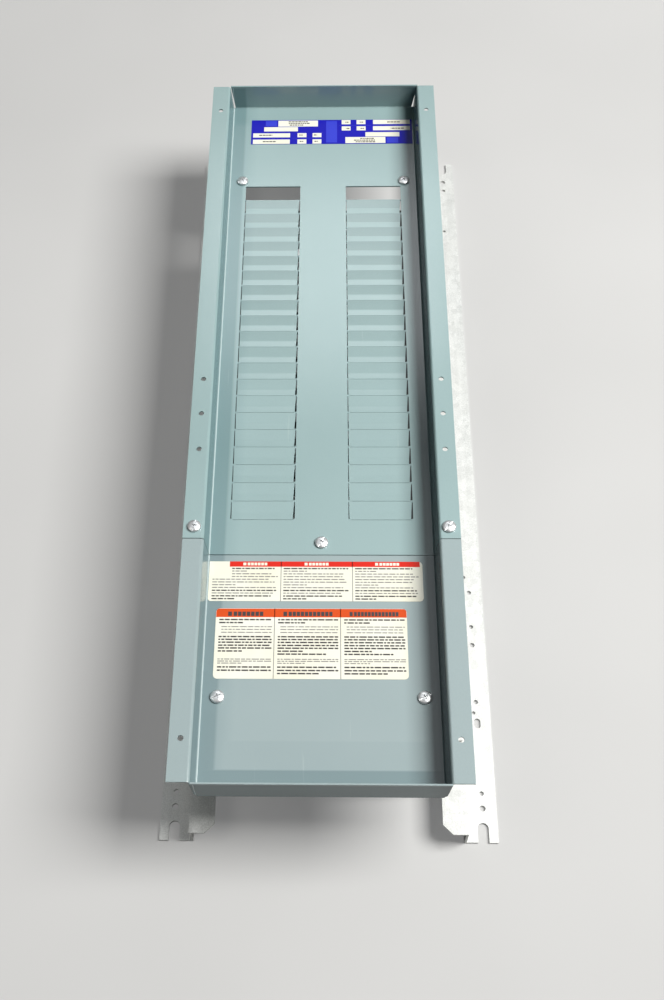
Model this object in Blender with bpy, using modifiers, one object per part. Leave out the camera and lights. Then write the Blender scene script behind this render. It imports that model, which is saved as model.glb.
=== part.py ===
"""Panelboard interior: 42-circuit main-lug chassis with a two-piece formed dead front.

Frame: +X right, +Y towards the nameplate end, +Z out of the panel's front.
The origin is the centre of the underside of the mounting rails. Units are metres.
"""
import math

import bmesh
import bpy
from mathutils import Matrix, Vector

# ---------------------------------------------------------------- driving dimensions
PITCH = 0.01905              # one breaker space
SPACES = 21                  # spaces in each column, the far one is open
COVER_X = -0.0062            # centre line of the dead front, bus and breakers
FLOOR_Z = 0.094              # front face of the dead front's floor
FLANGE_Z = 0.1225            # front face of the side flanges
FLOOR_HALF = 0.0962          # half width of the floor
WALL_HALF = 0.0986           # half width where the walls meet the flanges
FLANGE_HALF = 0.1165         # half width over the flanges
SHEET = 0.0015               # dead front sheet
BEND_IN = 0.0010             # inner bend radius
BEND_OUT = BEND_IN + SHEET   # outer bend radius
COVER_FAR = 0.3820           # inner face of the far wall
COVER_NEAR = -0.3840         # outer face of the near wall
SEAM_Y = -0.1712             # joint between dead front and lower cover
SEAM_GAP = 0.0006
ROW_BASE = -0.1360           # near edge of the nearest breaker space
COLUMN_IN = 0.0234           # column edges, from the cover's centre line
COLUMN_OUT = 0.0795

RAIL_OUT = 0.1403            # rail: outer edge of the low flange
RAIL_WEB = 0.1139            # outer face of the web
RAIL_IN = 0.0933             # inner edge of the high flange
RAIL_HALF = 0.3905
RAIL_T = 0.0020
RAIL_HIGH = 0.0230           # top of the high flange
RAIL_CHAMFER = 0.0080
KEYSLOT_X = 0.1281           # open slots that hang the rails on studs
KEYSLOT_W = 0.0094
KEYSLOT_L = 0.0165

GAP = 0.0003
BRACKET_T = 0.0020
FOOT_Z = RAIL_HIGH + GAP     # underside of everything bolted to the rails
FOOT_TOP = FOOT_Z + BRACKET_T
TAB_TOP = FLOOR_Z - SHEET - GAP
TAB_LOW = TAB_TOP - BRACKET_T
CROSS_T = 0.0025
CROSS_TOP = FOOT_Z + CROSS_T
BASE_LOW = CROSS_TOP + GAP
BASE_T = 0.0060
PAD_TOP = BASE_LOW + 0.0100
BAR_LOW = PAD_TOP + GAP
BAR_T = 0.0032
BAR_TOP = BAR_LOW + BAR_T
BAR_W = 0.0127
BAR_PITCH = 0.0180           # phase bars side by side
LUG_PITCH = 0.0420           # bars spread to this under the lower cover

SCREW_HEAD_R = 0.0057
SCREW_SHANK_R = 0.0021
SCREW_HOLE_R = 0.0026
COVER_SCREW_X = 0.0832
FLANGE_SCREW_X = 0.1071
FAR_SCREW_Y = 0.2712
FLANGE_SCREW_Y = -0.1600
SEAM_SCREW_Y = -0.1594
LOWER_SCREW_Y = -0.3019
FLANGE_HOLE_X = 0.1073
FLANGE_HOLE_R = 0.0023

FAR_BRACKET_Y = (0.2675, 0.2820)
STANDOFF_Y = (-0.1680, -0.1520)
SEAM_LEG_Y = (-0.1880, -0.1720)
SEAM_TOP_Y = (-0.1880, -0.1510)
SEAM_FOOT_Y = -0.1800
NEAR_BRACKET_Y = (-0.3110, -0.2930)
CROSS_Y = (0.2500, 0.0715, -0.1300, -0.3300)
CROSS_W = 0.0300
BASE_SECTIONS = (("far", 0.0722, 0.2900), ("mid", -0.1293, 0.0708), ("near", -0.3450, -0.1307))
BASE_HALF = 0.0862
CROSS_BOLT_X = 0.1040
FOOT_SCREW_X = 0.1040
BASE_SCREW_X = 0.0740
BREAKER_RAIL_X = 0.0850
BREAKER_RAIL_Y = (-0.1290, 0.2680)
LUG_SIZE = (0.0240, 0.0340, 0.0260)
LUG_Y = -0.2300
LUG_SCREW_Y = LUG_Y - 0.0070
LUG_BORE_R = 0.0078
NEUTRAL_X = -0.0760
NEUTRAL_Y = (-0.3060, -0.1600)
LABEL_T = 0.0003

# ---------------------------------------------------------------- colours
GREY_PAINT = ((0.43, 0.52, 0.53, 1.0), 0.0, 0.36)
GALVANISED = ((0.66, 0.67, 0.66, 1.0), 0.9, 0.42)
ZINC = ((0.72, 0.73, 0.74, 1.0), 0.95, 0.26)
TINNED = ((0.78, 0.78, 0.76, 1.0), 0.95, 0.34)
ALUMINIUM = ((0.75, 0.76, 0.77, 1.0), 0.95, 0.38)
MOULDING = ((0.035, 0.036, 0.040, 1.0), 0.0, 0.5)
BLUE_FOIL = ((0.06, 0.13, 0.42, 1.0), 0.1, 0.35)
WHITE_LABEL = ((0.86, 0.80, 0.78, 1.0), 0.0, 0.45)


# ---------------------------------------------------------------- scene and helpers
def clear_scene():
    for old in list(bpy.data.objects):
        bpy.data.objects.remove(old, do_unlink=True)


def new_collection(name):
    made = bpy.data.collections.new(name)
    bpy.context.scene.collection.children.link(made)
    return made


def make_material(name, look):
    colour, metallic, roughness = look
    made = bpy.data.materials.new(name)
    made.use_nodes = True
    shader = made.node_tree.nodes["Principled BSDF"]
    shader.inputs["Base Color"].default_value = colour
    shader.inputs["Metallic"].default_value = metallic
    shader.inputs["Roughness"].default_value = roughness
    made.diffuse_color = colour
    return made


def add_part(name, mesh, look, location=(0.0, 0.0, 0.0), smooth=None):
    made = bpy.data.objects.new(name, mesh)
    made.location = location
    PARTS.objects.link(made)
    mesh.materials.clear()
    mesh.materials.append(make_material(name, look))
    if smooth:
        mesh.shade_smooth()
        mesh.set_sharp_from_angle(angle=math.radians(smooth))
    return made


def add_cutter(name, mesh, location=(0.0, 0.0, 0.0)):
    made = bpy.data.objects.new(name, mesh)
    made.location = location
    made.hide_render = True
    made.display_type = "WIRE"
    CUTTERS.objects.link(made)
    return made


def boolean(target, tool, operation="DIFFERENCE"):
    cut = target.modifiers.new(operation.title(), "BOOLEAN")
    cut.operation = operation
    cut.solver = "EXACT"
    cut.object = tool
    return cut


def finish_mesh(bm, name):
    made = bpy.data.meshes.new(name)
    bm.to_mesh(made)
    bm.free()
    return made


def boxes(name, spans):
    """One mesh of separate boxes, each given as its x, y and z limits."""
    bm = bmesh.new()
    for (x0, x1), (y0, y1), (z0, z1) in spans:
        place = Matrix.Translation(((x0 + x1) / 2, (y0 + y1) / 2, (z0 + z1) / 2))
        size = Matrix.Diagonal((x1 - x0, y1 - y0, z1 - z0, 1.0))
        bmesh.ops.create_cube(bm, size=1.0, matrix=place @ size)
    return finish_mesh(bm, name)


def drills(name, places, z0, z1, segments=10):
    """One mesh of upright cylinders, each given as x, y and radius."""
    bm = bmesh.new()
    for x, y, radius in places:
        place = Matrix.Translation((x, y, (z0 + z1) / 2))
        bmesh.ops.create_cone(bm, cap_ends=True, segments=segments, radius1=radius, radius2=radius,
                              depth=z1 - z0, matrix=place)
    return finish_mesh(bm, name)


def evaluated_mesh(source, name):
    """The evaluated mesh of a helper object, welded and facing out; the helper goes."""
    bpy.context.view_layer.update()
    graph = bpy.context.evaluated_depsgraph_get()
    made = bpy.data.meshes.new_from_object(source.evaluated_get(graph))
    made.transform(source.matrix_world)
    made.name = name
    bm = bmesh.new()
    bm.from_mesh(made)
    bmesh.ops.remove_doubles(bm, verts=bm.verts, dist=0.00001)
    bmesh.ops.recalc_face_normals(bm, faces=bm.faces)
    bm.to_mesh(made)
    bm.free()
    bpy.data.objects.remove(source, do_unlink=True)
    return made


def flat_shape(name, outline, depth, axis="Z", start=0.0, holes=()):
    """A filled 2D curve extruded along an axis from start; outline points are in the other two axes."""
    curve = bpy.data.curves.new(name, "CURVE")
    curve.dimensions = "2D"
    curve.fill_mode = "BOTH"
    curve.extrude = depth / 2
    for ring in (outline,) + tuple(holes):
        spline = curve.splines.new("POLY")
        spline.points.add(len(ring) - 1)
        for point, (u, v) in zip(spline.points, ring):
            point.co = (u, v, 0.0, 1.0)
        spline.use_cyclic_u = True
    helper = bpy.data.objects.new(name, curve)
    PARTS.objects.link(helper)
    if axis == "Z":
        helper.location = (0.0, 0.0, start + depth / 2)
    if axis == "Y":
        helper.rotation_euler = (math.pi / 2, 0.0, 0.0)
        helper.location = (0.0, start + depth / 2, 0.0)
    return evaluated_mesh(helper, name)


def turned(name, profile, steps):
    """A profile of (radius, z) points, top to bottom on the outer side, turned about Z."""
    bm = bmesh.new()
    ring = [bm.verts.new((radius, 0.0, z)) for radius, z in profile]
    for a, b in zip(ring, ring[1:]):
        bm.edges.new((a, b))
    helper = bpy.data.objects.new(name, finish_mesh(bm, name))
    PARTS.objects.link(helper)
    screw = helper.modifiers.new("Turn", "SCREW")
    screw.axis = "Z"
    screw.angle = 2 * math.pi
    screw.steps = steps
    screw.render_steps = steps
    screw.use_merge_vertices = True
    screw.merge_threshold = 0.00001
    return evaluated_mesh(helper, name)


def copies(name, source, places):
    """One mesh holding a separate copy of the source at each place."""
    bm = bmesh.new()
    for place in places:
        before = len(bm.verts)
        bm.from_mesh(source)
        bm.verts.ensure_lookup_table()
        bmesh.ops.translate(bm, verts=bm.verts[before:], vec=Vector(place))
    return finish_mesh(bm, name)


def arc(centre, radius, start, end, steps):
    """Points on an arc, angles in degrees, both ends included."""
    points = []
    for i in range(steps + 1):
        a = math.radians(start + (end - start) * i / steps)
        points.append((centre[0] + radius * math.cos(a), centre[1] + radius * math.sin(a)))
    return points


def row_y(row):
    return ROW_BASE + row * PITCH


# ---------------------------------------------------------------- dead front sheets
def pan_half_profile():
    """Right half of the pan's front surface as (x, z), from the floor out to the flange's edge."""
    lean = math.degrees(math.atan2(FLANGE_Z - FLOOR_Z, WALL_HALF - FLOOR_HALF))
    low_back = BEND_IN * math.tan(math.radians(lean / 2))
    top_back = BEND_OUT * math.tan(math.radians(lean / 2))
    low = arc((FLOOR_HALF - low_back, FLOOR_Z + BEND_IN), BEND_IN, -90, lean - 90, 3)
    top = arc((WALL_HALF + top_back, FLANGE_Z - BEND_OUT), BEND_OUT, 90 + lean, 90, 4)
    return [(0.0, FLOOR_Z), (FLOOR_HALF - 0.0022, FLOOR_Z)] + low + top + [(FLANGE_HALF, FLANGE_Z)]


def pan_mesh(name, y_open, y_wall, wall_radius):
    """Open pan surface from its open end to an end wall, which rises from the floor's edge."""
    half = pan_half_profile()
    profile = [(-x, z) for x, z in reversed(half[1:])] + half
    outwards = 1.0 if y_wall > y_open else -1.0
    y_bend = y_wall - outwards * wall_radius
    bm = bmesh.new()
    start = [bm.verts.new((x + COVER_X, y_open, z)) for x, z in profile]
    chain = [bm.edges.new((a, b)) for a, b in zip(start, start[1:])]
    grown = bmesh.ops.extrude_edge_only(bm, edges=chain)["geom"]
    verts = [g for g in grown if isinstance(g, bmesh.types.BMVert)]
    bmesh.ops.translate(bm, verts=verts, vec=(0.0, y_bend - y_open, 0.0))
    ends = [g for g in grown if isinstance(g, bmesh.types.BMEdge) and g.is_boundary]
    ends = [e for e in ends if abs(e.verts[0].co.y - e.verts[1].co.y) < 1e-6]
    sides = [e for e in ends if max(v.co.z for v in e.verts) > FLOOR_Z + 1e-5]
    middle = [e for e in ends if max(abs(v.co.x - COVER_X) for v in e.verts) < FLOOR_HALF - 0.0020]
    side_faces = bmesh.ops.extrude_edge_only(bm, edges=sides)["geom"]
    bmesh.ops.translate(bm, verts=[g for g in side_faces if isinstance(g, bmesh.types.BMVert)],
                        vec=(0.0, y_wall - y_bend, 0.0))
    turn = arc((y_bend, FLOOR_Z + wall_radius), wall_radius, -90, -90 + outwards * 90, 3)
    path = turn + [(y_wall, FLANGE_Z)]
    for here, there in zip(path, path[1:]):
        step = bmesh.ops.extrude_edge_only(bm, edges=middle)["geom"]
        middle = [g for g in step if isinstance(g, bmesh.types.BMEdge)
                  and abs(g.verts[0].co.x - g.verts[1].co.x) > 1e-4 and g.is_boundary]
        moved = [g for g in step if isinstance(g, bmesh.types.BMVert)]
        bmesh.ops.translate(bm, verts=moved, vec=(0.0, there[0] - here[0], there[1] - here[1]))
    bmesh.ops.recalc_face_normals(bm, faces=bm.faces)
    bm.faces.ensure_lookup_table()
    floor = max(bm.faces, key=lambda f: f.calc_area())
    if floor.normal.z < 0:
        bmesh.ops.reverse_faces(bm, faces=bm.faces)
    return finish_mesh(bm, name)


def thicken(target):
    shell = target.modifiers.new("Sheet", "SOLIDIFY")
    shell.thickness = SHEET
    shell.offset = -1.0
    shell.use_even_offset = True


def slit(bm, x_edge, inward, y0, y1, near_w, far_w):
    """An upright wedge: straight at the column's edge, wider at its near end."""
    made = bmesh.ops.create_cube(bm, size=1.0)["verts"]
    for vert in made:
        y = y0 if vert.co.y < 0 else y1
        width = near_w if vert.co.y < 0 else far_w
        x = x_edge if vert.co.x * inward < 0 else x_edge + inward * width
        vert.co = (x, y, FLOOR_Z - SHEET / 2 + vert.co.z * 0.006)
    faces = {f for v in made for f in v.link_faces}
    bmesh.ops.recalc_face_normals(bm, faces=list(faces))


def twistout_cutters():
    """Slits round each breaker space; each plate stays held at its corners."""
    bm = bmesh.new()
    for side in (-1.0, 1.0):
        x_low = COVER_X + min(side * COLUMN_IN, side * COLUMN_OUT)
        x_high = COVER_X + max(side * COLUMN_IN, side * COLUMN_OUT)
        for row in range(SPACES - 1):
            slit(bm, x_low, 1.0, row_y(row) + 0.0010, row_y(row + 1) - 0.0010, 0.0011, 0.0006)
            slit(bm, x_high, -1.0, row_y(row) + 0.0010, row_y(row + 1) - 0.0010, 0.0019, 0.0007)
            place = Matrix.Translation(((x_low + x_high) / 2, row_y(row), FLOOR_Z - SHEET / 2))
            size = Matrix.Diagonal((x_high - x_low - 0.0070, 0.0005, 0.006, 1.0))
            bmesh.ops.create_cube(bm, size=1.0, matrix=place @ size)
        opening = Matrix.Translation(((x_low + x_high) / 2, row_y(SPACES - 0.5), FLOOR_Z))
        bmesh.ops.create_cube(bm, size=1.0,
                              matrix=opening @ Matrix.Diagonal((x_high - x_low, PITCH, 0.02, 1.0)))
    return add_cutter("cut_twistouts", finish_mesh(bm, "cut_twistouts"))


def flange_hole_places(rows):
    return [(COVER_X + side * FLANGE_HOLE_X, y, FLANGE_HOLE_R) for y in rows for side in (-1.0, 1.0)]


def make_upper_deadfront():
    mesh = pan_mesh("upper_deadfront", SEAM_Y + SEAM_GAP / 2, COVER_FAR, BEND_IN)
    part = add_part("upper_deadfront", mesh, GREY_PAINT)
    thicken(part)
    boolean(part, twistout_cutters())
    floor_holes = [(COVER_X - COVER_SCREW_X, FAR_SCREW_Y, SCREW_HOLE_R),
                   (COVER_X + COVER_SCREW_X, FAR_SCREW_Y, SCREW_HOLE_R),
                   (COVER_X, SEAM_SCREW_Y, SCREW_HOLE_R)]
    boolean(part, add_cutter("cut_upper_floor", drills("cut_upper_floor", floor_holes, 0.088, 0.100)))
    flange_holes = flange_hole_places((0.3456, -0.0050, -0.0431, -0.0812))
    flange_holes += [(COVER_X + s * FLANGE_SCREW_X, FLANGE_SCREW_Y, SCREW_HOLE_R) for s in (-1.0, 1.0)]
    boolean(part, add_cutter("cut_upper_flange", drills("cut_upper_flange", flange_holes, 0.118, 0.126)))
    return part


def make_lower_cover():
    mesh = pan_mesh("lower_cover", SEAM_Y - SEAM_GAP / 2, COVER_NEAR + SHEET, BEND_IN)
    part = add_part("lower_cover", mesh, GREY_PAINT)
    thicken(part)
    floor_holes = [(COVER_X + s * COVER_SCREW_X, LOWER_SCREW_Y, SCREW_HOLE_R) for s in (-1.0, 1.0)]
    boolean(part, add_cutter("cut_lower_floor", drills("cut_lower_floor", floor_holes, 0.088, 0.100)))
    flange_holes = flange_hole_places((-0.3476,))
    boolean(part, add_cutter("cut_lower_flange", drills("cut_lower_flange", flange_holes, 0.118, 0.126)))
    return part


# ---------------------------------------------------------------- rails
def rail_hole_places(side):
    """Holes of the low flange, with the punched row of the lug end."""
    x = side * (KEYSLOT_X + 0.0005)
    places = [(x, s * 0.3618, 0.0026) for s in (-1.0, 1.0)]
    places += [(x, s * 0.3489, 0.0020) for s in (-1.0, 1.0)]
    places += [(x, -0.2666, 0.0020), (side * 0.1261, -0.2768, 0.0016), (x, -0.2121, 0.0022)]
    places += [(x, -0.1941, 0.0020), (x, -0.1592, 0.0020), (side * 0.1246, -0.1434, 0.0017)]
    places += [(side * 0.1267, 0.2874, 0.0017)]
    return places


def foot_screw_places(side):
    """Screws that hold the feet of the brackets; the left standoff's foot turns inwards."""
    standoff_x = side * (FOOT_SCREW_X if side > 0 else FOOT_SCREW_X - 0.0035)
    return [(side * FOOT_SCREW_X, FAR_SCREW_Y + 0.0035), (standoff_x, FLANGE_SCREW_Y),
            (side * FOOT_SCREW_X, SEAM_FOOT_Y), (side * FOOT_SCREW_X, LOWER_SCREW_Y)]


def high_flange_places(side):
    """Clearance holes of the high flange for everything that is bolted down on it."""
    places = [(side * CROSS_BOLT_X, y) for y in CROSS_Y] + foot_screw_places(side)
    return [(x, y, SCREW_HOLE_R) for x, y in places]


def rounded_slot(x, y0, y1, width, steps=10):
    """Outline of a slot along Y with round ends."""
    r = width / 2
    return arc((x, y1 - r), r, 0, 180, steps) + arc((x, y0 + r), r, 180, 360, steps)


def make_rail(name, side):
    section = [(side * RAIL_OUT, 0.0), (side * RAIL_OUT, RAIL_T), (side * RAIL_WEB, RAIL_T),
               (side * RAIL_WEB, RAIL_HIGH), (side * RAIL_IN, RAIL_HIGH),
               (side * RAIL_IN, RAIL_HIGH - RAIL_T), (side * (RAIL_WEB - RAIL_T), RAIL_HIGH - RAIL_T),
               (side * (RAIL_WEB - RAIL_T), 0.0)]
    mesh = flat_shape(name, section, 2 * RAIL_HALF, axis="Y", start=-RAIL_HALF)
    part = add_part(name, mesh, GALVANISED)
    low = drills("cut_low_" + name, rail_hole_places(side), -0.004, 0.006, 16)
    boolean(part, add_cutter("cut_low_" + name, low))
    high = drills("cut_high_" + name, high_flange_places(side), 0.017, 0.027)
    boolean(part, add_cutter("cut_high_" + name, high))
    reach = RAIL_HALF + 0.004
    hang = side * KEYSLOT_X
    for tag, y0, y1 in (("near", -reach, KEYSLOT_L - RAIL_HALF), ("far", RAIL_HALF - KEYSLOT_L, reach)):
        outline = rounded_slot(hang, y0 - 0.006 * (tag == "near"), y1 + 0.006 * (tag == "far"), KEYSLOT_W)
        tool_name = "cut_" + tag + "_slot_" + name
        boolean(part, add_cutter(tool_name, flat_shape(tool_name, outline, 0.010, start=-0.004)))
    oblong = rounded_slot(side * (KEYSLOT_X + 0.0007), -0.2911, -0.2819, 0.0056)
    tool_name = "cut_oblong_" + name
    boolean(part, add_cutter(tool_name, flat_shape(tool_name, oblong, 0.010, start=-0.004)))
    corner = RAIL_IN - 0.001
    for tag, end in (("near", -1.0), ("far", 1.0)):
        wedge = [(side * corner, end * (RAIL_HALF - RAIL_CHAMFER - 0.001)),
                 (side * (RAIL_IN + RAIL_CHAMFER + 0.001), end * (RAIL_HALF + 0.001)),
                 (side * corner, end * (RAIL_HALF + 0.001))]
        tool_name = "cut_" + tag + "_corner_" + name
        boolean(part, add_cutter(tool_name, flat_shape(tool_name, wedge, 0.010, start=0.017)))
    return part


# ---------------------------------------------------------------- brackets
def make_bracket(name, section, y_span, tab_hole, foot_hole):
    """A folded strap: its section is in X and Z, and it runs along Y."""
    mesh = flat_shape(name, section, y_span[1] - y_span[0], axis="Y", start=y_span[0])
    part = add_part(name, mesh, GALVANISED)
    boolean(part, add_cutter("cut_tab_" + name, drills("cut_tab_" + name, [tab_hole], 0.080, 0.124)))
    boolean(part, add_cutter("cut_foot_" + name, drills("cut_foot_" + name, [foot_hole], 0.020, 0.030)))
    return part


def floor_bracket(name, side, y_span, screw_y, foot_y):
    """Stands on a rail and carries the floor screw of one corner."""
    foot = side * 0.1125
    leg = side * (RAIL_IN + 0.0002)
    tab = COVER_X + side * (COLUMN_OUT + 0.0002)
    t = side * BRACKET_T
    section = [(foot, FOOT_Z), (foot, FOOT_TOP), (leg + t, FOOT_TOP), (leg + t, TAB_TOP), (tab, TAB_TOP),
               (tab, TAB_LOW), (leg, TAB_LOW), (leg, FOOT_Z)]
    tab_hole = (COVER_X + side * COVER_SCREW_X, screw_y, SCREW_HOLE_R)
    return make_bracket(name, section, y_span, tab_hole, (side * FOOT_SCREW_X, foot_y, SCREW_HOLE_R))


def make_standoff(name, side):
    """Stands beside the pan's wall and carries a flange screw."""
    screw = COVER_X + side * FLANGE_SCREW_X
    leg = screw + (0.0029 if side < 0 else -0.0055)
    far = screw + side * 0.0070
    foot = side * (0.0948 if side < 0 else 0.1120)
    top = FLANGE_Z - SHEET - GAP
    t = BRACKET_T
    if side > 0:
        section = [(leg, FOOT_Z), (foot, FOOT_Z), (foot, FOOT_TOP), (leg + t, FOOT_TOP),
                   (leg + t, top - t), (far, top - t), (far, top), (leg, top)]
    else:
        section = [(leg, FOOT_Z), (foot, FOOT_Z), (foot, FOOT_TOP), (leg + t, FOOT_TOP),
                   (leg + t, top), (far, top), (far, top - t), (leg, top - t)]
    tab_hole = (screw, FLANGE_SCREW_Y, SCREW_HOLE_R)
    return make_bracket(name, section, STANDOFF_Y, tab_hole, foot_screw_places(side)[1] + (SCREW_HOLE_R,))


def make_seam_bracket():
    """Hat-shaped bridge over the bus under the joint of the two covers."""
    foot = 0.1125
    leg = RAIL_IN + 0.0002
    t = BRACKET_T
    section = [(-foot, FOOT_Z), (-leg, FOOT_Z), (-leg, TAB_LOW), (leg, TAB_LOW), (leg, FOOT_Z),
               (foot, FOOT_Z), (foot, FOOT_TOP), (leg + t, FOOT_TOP), (leg + t, TAB_TOP),
               (-leg - t, TAB_TOP), (-leg - t, FOOT_TOP), (-foot, FOOT_TOP)]
    holes = [(COVER_X, SEAM_SCREW_Y, SCREW_HOLE_R), (-FOOT_SCREW_X, SEAM_FOOT_Y, SCREW_HOLE_R),
             (FOOT_SCREW_X, SEAM_FOOT_Y, SCREW_HOLE_R)]
    width = SEAM_LEG_Y[1] - SEAM_LEG_Y[0]
    mesh = flat_shape("seam_bracket", section, width, axis="Y", start=SEAM_LEG_Y[0])
    part = add_part("seam_bracket", mesh, GALVANISED)
    tongue_y = (SEAM_LEG_Y[1] - 0.002, SEAM_TOP_Y[1])
    tongue = boxes("join_seam", [((-0.030, 0.018), tongue_y, (TAB_LOW, TAB_TOP))])
    boolean(part, add_cutter("join_seam", tongue), "UNION")
    boolean(part, add_cutter("cut_seam_bracket", drills("cut_seam_bracket", holes, 0.010, 0.100)))
    return part


def make_cross_member(name, y):
    """Flat strap bolted across both rails, under the insulating base."""
    half = 0.1125
    holes = [arc((s * CROSS_BOLT_X, y), SCREW_HOLE_R, 0, 315, 7) for s in (-1.0, 1.0)]
    for x, base_y in base_screw_places():
        if abs(base_y - y) < CROSS_W / 2:
            holes.append(arc((x, base_y), SCREW_HOLE_R, 0, 315, 7))
    low_y = y - CROSS_W / 2
    high_y = y + CROSS_W / 2
    outline = [(-half, low_y), (half, low_y), (half, high_y), (-half, high_y)]
    return add_part(name, flat_shape(name, outline, CROSS_T, start=FOOT_Z, holes=holes), GALVANISED)


# ---------------------------------------------------------------- base and bus
def base_screw_places():
    """Where the insulating base is screwed to the cross members."""
    places = []
    for y in (0.2500, 0.0795, 0.0635, -0.1220, -0.1380, -0.3300):
        places += [(COVER_X - BASE_SCREW_X, y), (COVER_X + BASE_SCREW_X, y)]
    return places


def bus_screw_rows():
    """Where each phase bar is screwed to the base's pads."""
    return (row_y(20), row_y(12), row_y(10), row_y(2), -0.2050)


def bar_centre(phase, near):
    """X of a phase bar, along the breakers or out at the lugs."""
    return COVER_X + (phase - 1) * (LUG_PITCH if near else BAR_PITCH)


def base_section(near):
    """Moulded section in X and Z: plate, pads under the bars and barriers between them."""
    top = BASE_LOW + BASE_T
    points = [(COVER_X - BASE_HALF, BASE_LOW), (COVER_X + BASE_HALF, BASE_LOW), (COVER_X + BASE_HALF, top)]
    for phase in (2, 1, 0):
        x = bar_centre(phase, near)
        points += [(x + 0.0060, top), (x + 0.0060, PAD_TOP), (x - 0.0060, PAD_TOP), (x - 0.0060, top)]
        if phase:
            middle = (x + bar_centre(phase - 1, near)) / 2
            points += [(middle + 0.0009, top), (middle + 0.0009, PAD_TOP + 0.0062),
                       (middle - 0.0009, PAD_TOP + 0.0062), (middle - 0.0009, top)]
    points.append((COVER_X - BASE_HALF, top))
    return points


def make_base(tag, y0, y1):
    name = "bus_base_" + tag
    near = tag == "near"
    mesh = flat_shape(name, base_section(near), y1 - y0, axis="Y", start=y0)
    part = add_part(name, mesh, MOULDING)
    holes = [(x, y, SCREW_HOLE_R) for x, y in base_screw_places() if y0 < y < y1]
    holes += [(bar_centre(p, near), y, 0.0024) for p in range(3) for y in bus_screw_rows() if y0 < y < y1]
    boolean(part, add_cutter("cut_" + name, drills("cut_" + name, holes, BASE_LOW - 0.002, 0.050, 8)))
    if near:
        clear = [((-0.099, 0.087), (-0.1880, -0.1280), (BASE_LOW + BASE_T, 0.050)),
                 ((-0.099, 0.087), (-0.3460, -0.2700), (BASE_LOW + BASE_T, 0.050))]
        boolean(part, add_cutter("cut_lands_" + name, boxes("cut_lands_" + name, clear)))
    return part


def make_bus_bar(phase, letter):
    """Flat bar, straight under the breakers and spread out to its lug, with its branch connectors."""
    x = bar_centre(phase, False)
    xl = bar_centre(phase, True)
    h = BAR_W / 2
    far = 0.2650
    bend = (-0.1480, -0.1860)
    near = LUG_Y - LUG_SIZE[1] / 2 - 0.0020
    outline = [(x + h, far), (x - h, far), (x - h, bend[0]), (xl - h, bend[1]), (xl - h, near),
               (xl + h, near), (xl + h, bend[1]), (x + h, bend[0])]
    holes = []
    for y in bus_screw_rows():
        centre = xl if y < bend[1] else x
        holes.append(arc((centre, y), 0.0024, 0, 315, 7))
    name = "bus_bar_" + letter
    part = add_part(name, flat_shape(name, outline, BAR_T, start=BAR_LOW, holes=holes), TINNED)
    boolean(part, add_cutter("join_" + name, connectors_mesh(phase, letter)), "UNION")
    return part


def connector_section(phase):
    """A cross strap in X and Z with a stab at each end and a foot down on its own bar."""
    foot = bar_centre(phase, False)
    low = BAR_LOW + 0.0012
    strap = 0.0445
    top = strap + 0.0025
    reach = 0.0290
    tip = 0.0600
    t = 0.0020
    left = COVER_X - reach
    right = COVER_X + reach
    rise = strap + 0.0003
    return [(left, rise), (foot - 0.0040, strap), (foot - 0.0040, low), (foot + 0.0040, low),
            (foot + 0.0040, strap), (right, rise), (right, tip), (right - t, tip), (right - t, top),
            (left + t, top), (left + t, tip), (left, tip)]


def connectors_mesh(phase, letter):
    """The seven branch connectors of one phase, one for every third space."""
    name = "join_bus_bar_" + letter
    width = 0.0100
    source = flat_shape(name, connector_section(phase), width, axis="Y", start=-width / 2)
    return copies(name, source, [(0.0, row_y(row + 0.5), 0.0) for row in range(phase, SPACES, 3)])


def make_breaker_rail(name, side):
    """Black moulded angle with a hooked top, which holds the outer ends of a column of breakers."""
    x = COVER_X + side * BREAKER_RAIL_X
    s = side
    low = BASE_LOW + BASE_T + GAP
    section = [(x - s * 0.0170, low), (x, low), (x, 0.0540), (x - s * 0.0060, 0.0540),
               (x - s * 0.0060, 0.0525), (x - s * 0.0015, 0.0525), (x - s * 0.0015, low + 0.0015),
               (x - s * 0.0170, low + 0.0015)]
    y0, y1 = BREAKER_RAIL_Y
    mesh = flat_shape(name, section, y1 - y0, axis="Y", start=y0)
    part = add_part(name, mesh, MOULDING)
    holes = [(screw_x, y, 0.0030) for screw_x, y in base_screw_places()
             if y0 < y < y1 and (screw_x - COVER_X) * s > 0]
    boolean(part, add_cutter("cut_" + name, drills("cut_" + name, holes, low - 0.002, low + 0.004, 8)))
    return part


# ---------------------------------------------------------------- lugs and neutral
def make_lug(phase, letter):
    """Aluminium block with a wire bore along Y and a threaded hole for its binding screw."""
    name = "main_lug_" + letter
    x = bar_centre(phase, True)
    low = BAR_TOP + GAP
    w, d, h = LUG_SIZE
    mesh = boxes(name, [((x - w / 2, x + w / 2), (LUG_Y - d / 2, LUG_Y + d / 2), (low, low + h))])
    part = add_part(name, mesh, ALUMINIUM)
    edge = part.modifiers.new("Edges", "BEVEL")
    edge.width = 0.0012
    edge.segments = 1
    bore = bmesh.new()
    turn = Matrix.Translation((x, LUG_Y, low + 0.0110)) @ Matrix.Rotation(math.pi / 2, 4, "X")
    bmesh.ops.create_cone(bore, cap_ends=True, segments=14, radius1=LUG_BORE_R, radius2=LUG_BORE_R,
                          depth=0.05, matrix=turn)
    boolean(part, add_cutter("cut_bore_" + name, finish_mesh(bore, "cut_bore_" + name)))
    hole = drills("cut_thread_" + name, [(x, LUG_SCREW_Y, 0.0053)], low + 0.0110, low + 0.040, 14)
    boolean(part, add_cutter("cut_thread_" + name, hole))
    return part


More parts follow.
